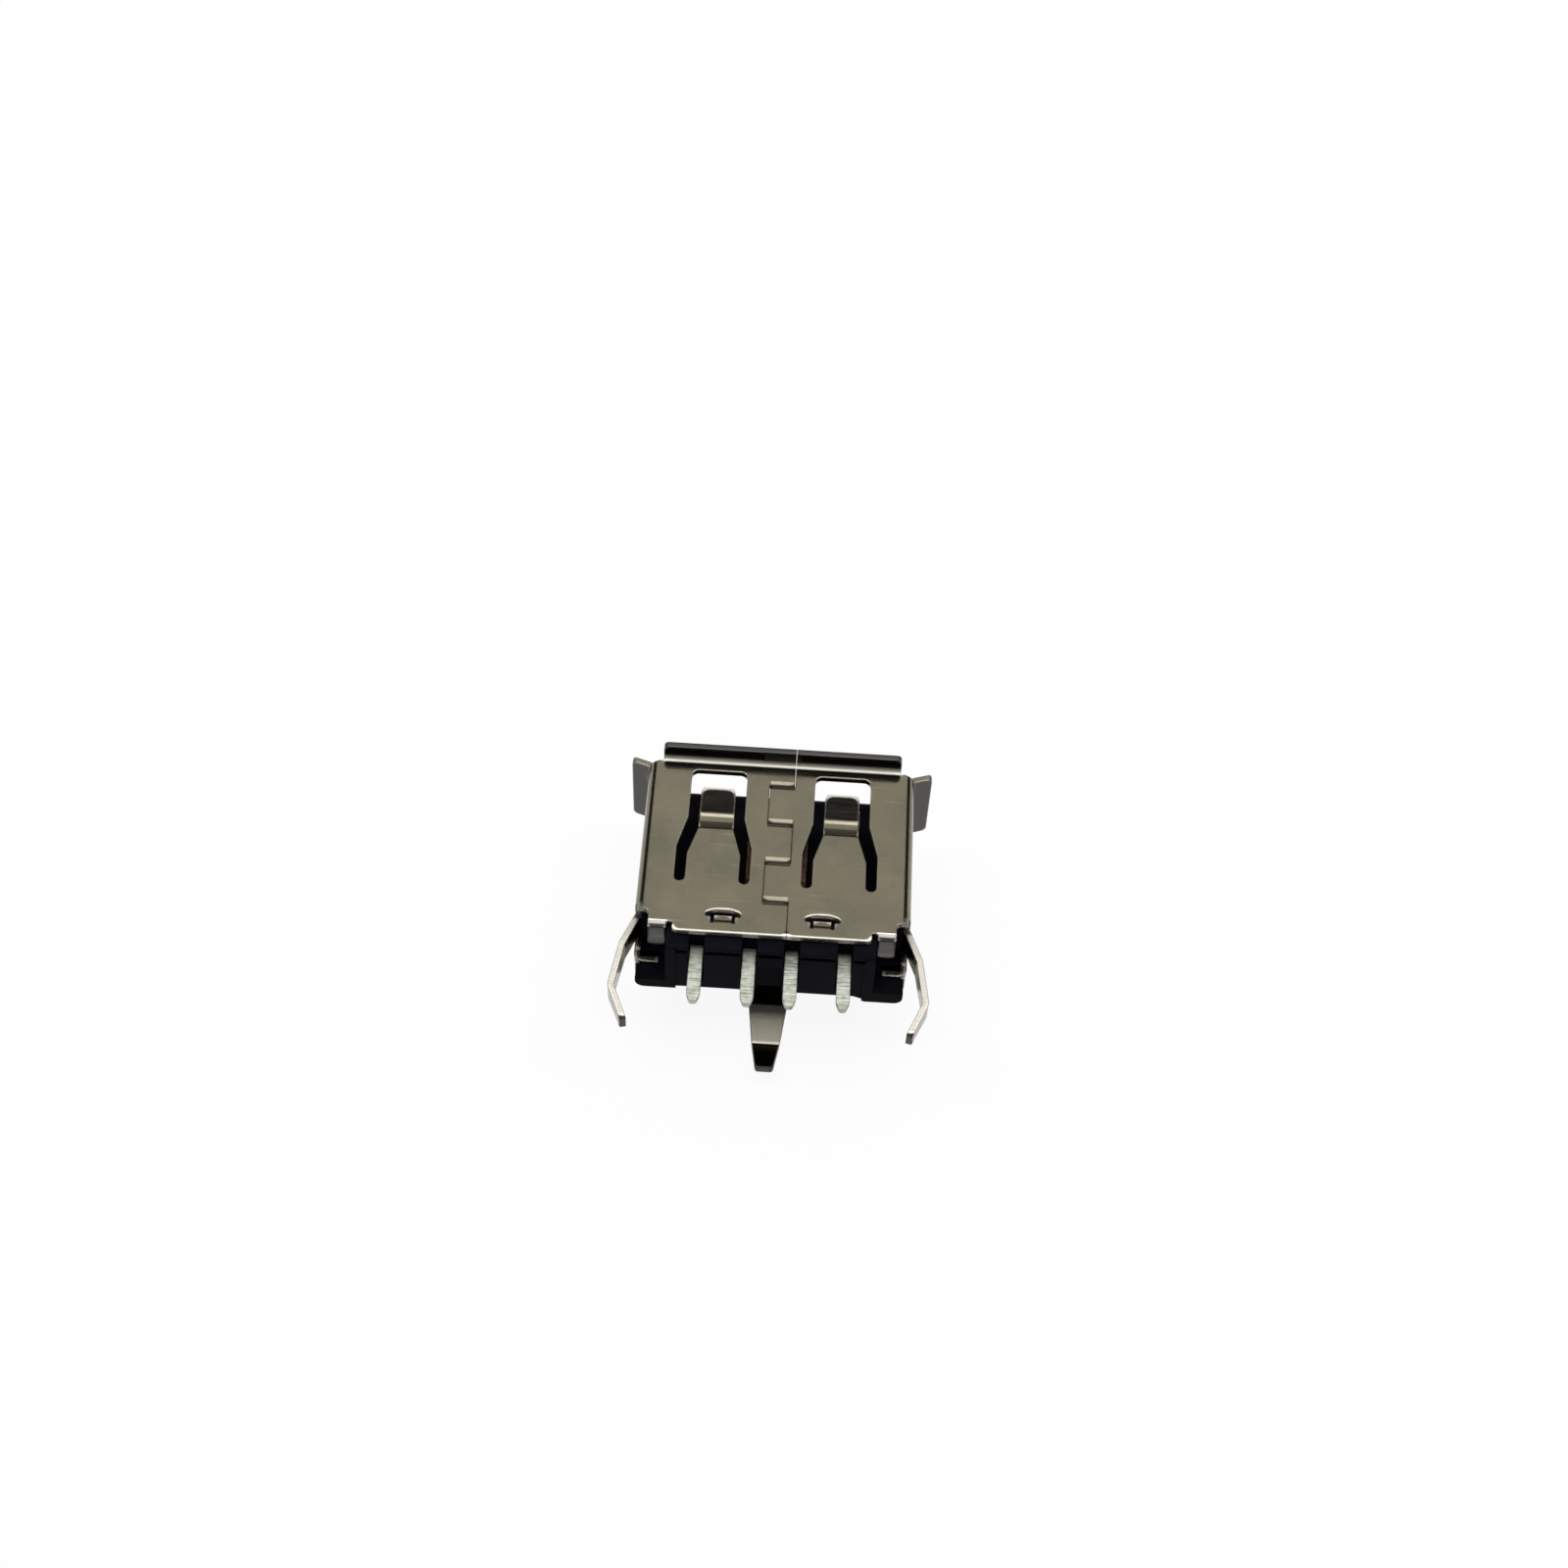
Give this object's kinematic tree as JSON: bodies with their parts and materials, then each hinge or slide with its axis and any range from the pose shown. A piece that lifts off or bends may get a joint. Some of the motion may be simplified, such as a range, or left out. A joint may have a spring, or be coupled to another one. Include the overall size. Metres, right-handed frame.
{
  "type": "straight type-a usb socket",
  "caption": "Upright through-hole USB type-A receptacle: folded nickel shell with flared mouth, toothed seam, spring fingers and kinked board locks round a black moulding with flat contacts.",
  "frame": {"origin": "centre of the bounding box at its lowest level, where the socket lies on its far wall's flange and centre board lock", "axes": "+Y from the board to the mouth, +Z out of the wall with the toothed seam, +X across the socket from the power contact to the ground contact"},
  "size_m": [0.0152, 0.0144, 0.0076],
  "materials": {
    "nickel_sheet": "satin nickel plating",
    "black_moulding": "matte",
    "tinned_contact": "matte tin plating"
  },
  "bodies": {
    "root": {"shell": "nickel_sheet", "insulator": "black_moulding", "contact_power": "tinned_contact", "contact_data_minus": "tinned_contact", "contact_data_plus": "tinned_contact", "contact_ground": "tinned_contact"}
  },
  "joints": []
}
